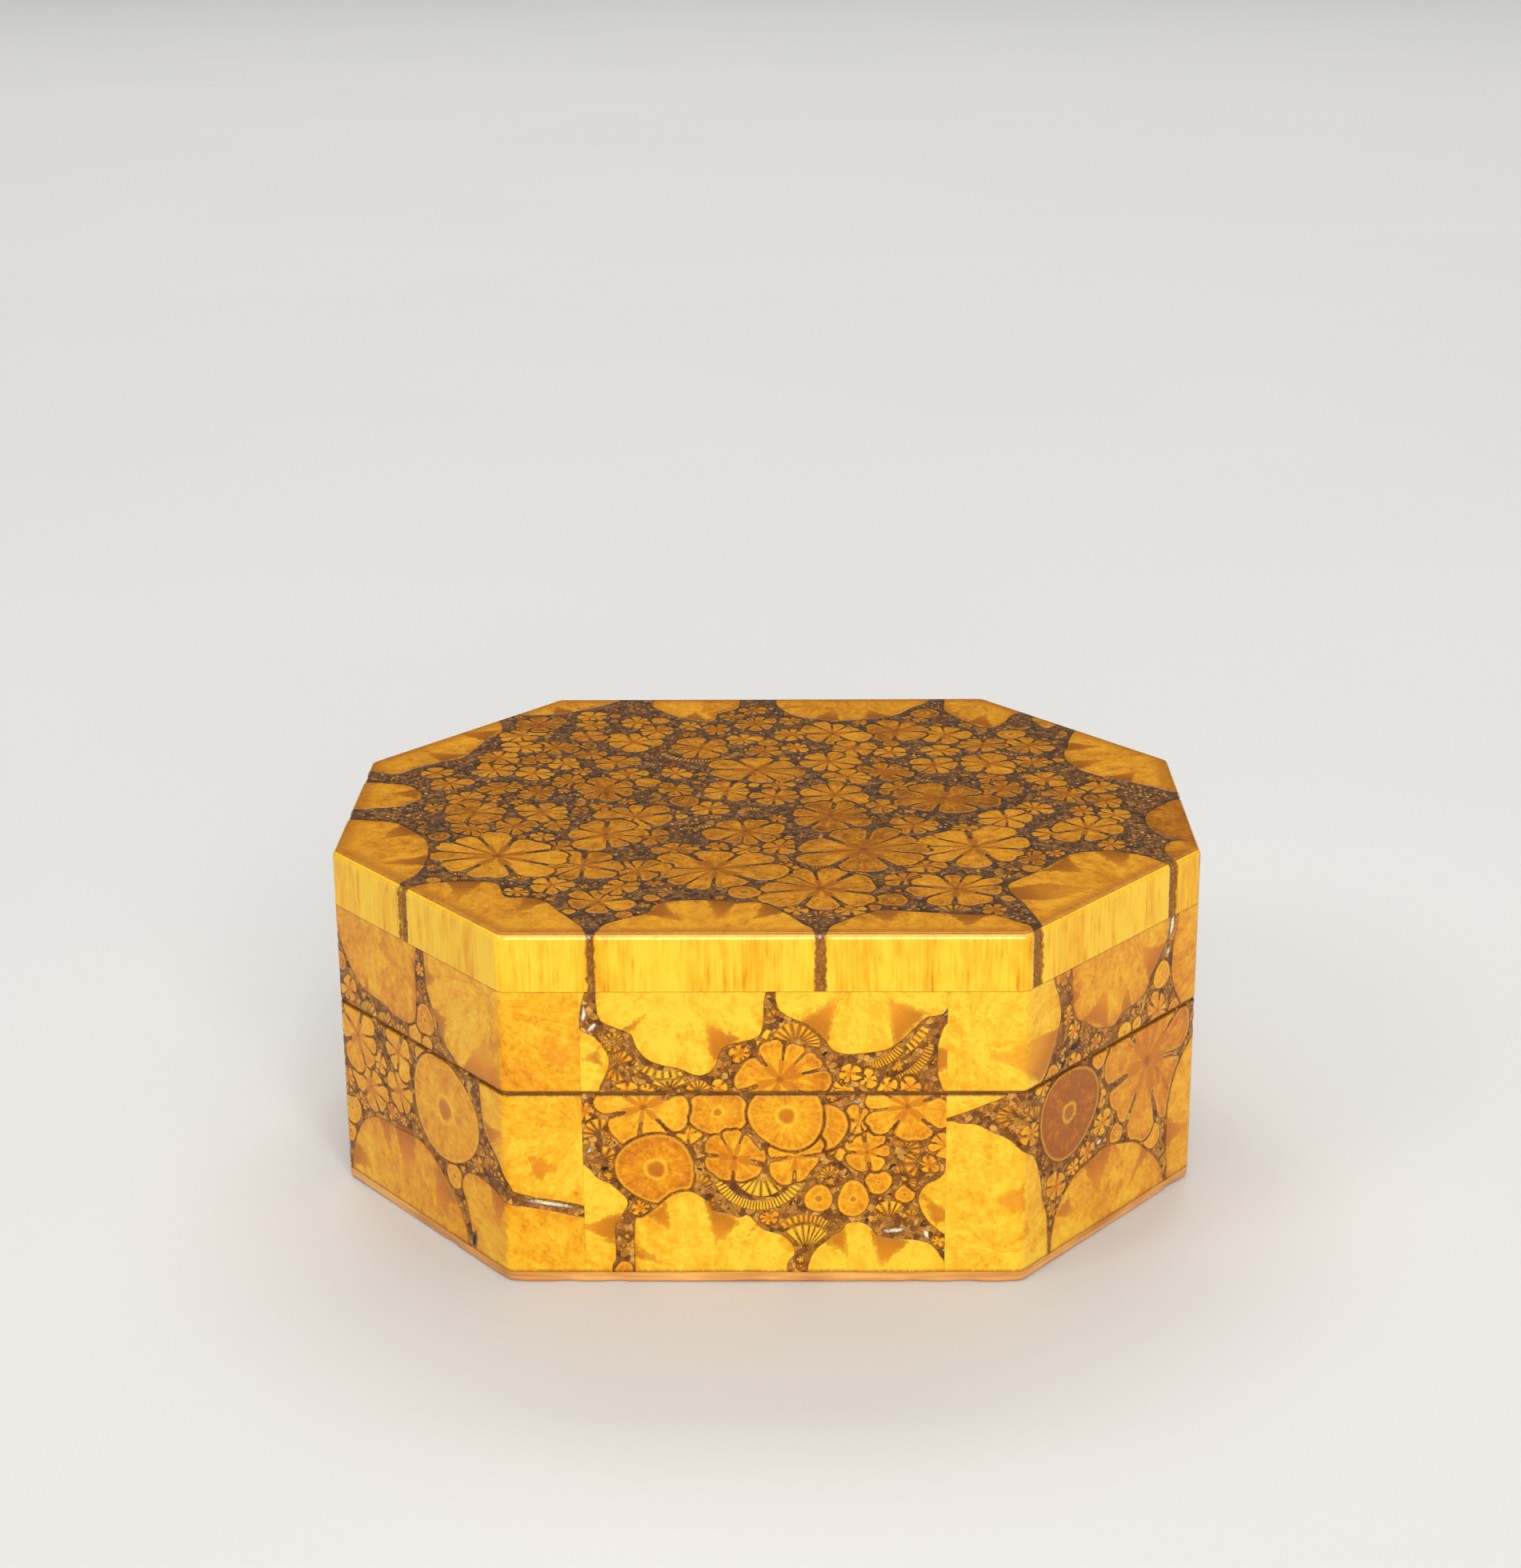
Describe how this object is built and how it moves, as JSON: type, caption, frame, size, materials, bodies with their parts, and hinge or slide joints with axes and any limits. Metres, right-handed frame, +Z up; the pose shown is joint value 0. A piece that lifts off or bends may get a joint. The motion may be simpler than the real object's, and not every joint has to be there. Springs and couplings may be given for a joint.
{
  "type": "burl wood box",
  "caption": "Eight-sided lidded box of glued slabs sawn across stems cast in resin, hollow, with a lift-off lid.",
  "frame": {"origin": "on the ground under the middle of the box", "axes": "+Z up; +X to the right along the box's width, seen from the front; the front faces -Y"},
  "size_m": [0.16, 0.136, 0.0666],
  "materials": {
    "stem_slices": "golden stem slices in brown resin, gloss varnish",
    "top_slices": "smaller stem slices in dark brown resin, gloss varnish",
    "plain_board": "thin plain board, varnished edge"
  },
  "bodies": {
    "root": {"bottom_panel": "plain_board", "base_wall_front": "stem_slices", "base_wall_right": "stem_slices", "base_wall_back": "stem_slices", "base_wall_left": "stem_slices", "base_corner_front_right": "stem_slices", "base_corner_back_right": "stem_slices", "base_corner_back_left": "stem_slices", "base_corner_front_left": "stem_slices", "lid_wall_front": "stem_slices", "lid_wall_right": "stem_slices", "lid_wall_back": "stem_slices", "lid_wall_left": "stem_slices", "lid_corner_front_right": "stem_slices", "lid_corner_back_right": "stem_slices", "lid_corner_back_left": "stem_slices", "lid_corner_front_left": "stem_slices", "lid_top_panel": "top_slices"}
  },
  "joints": []
}
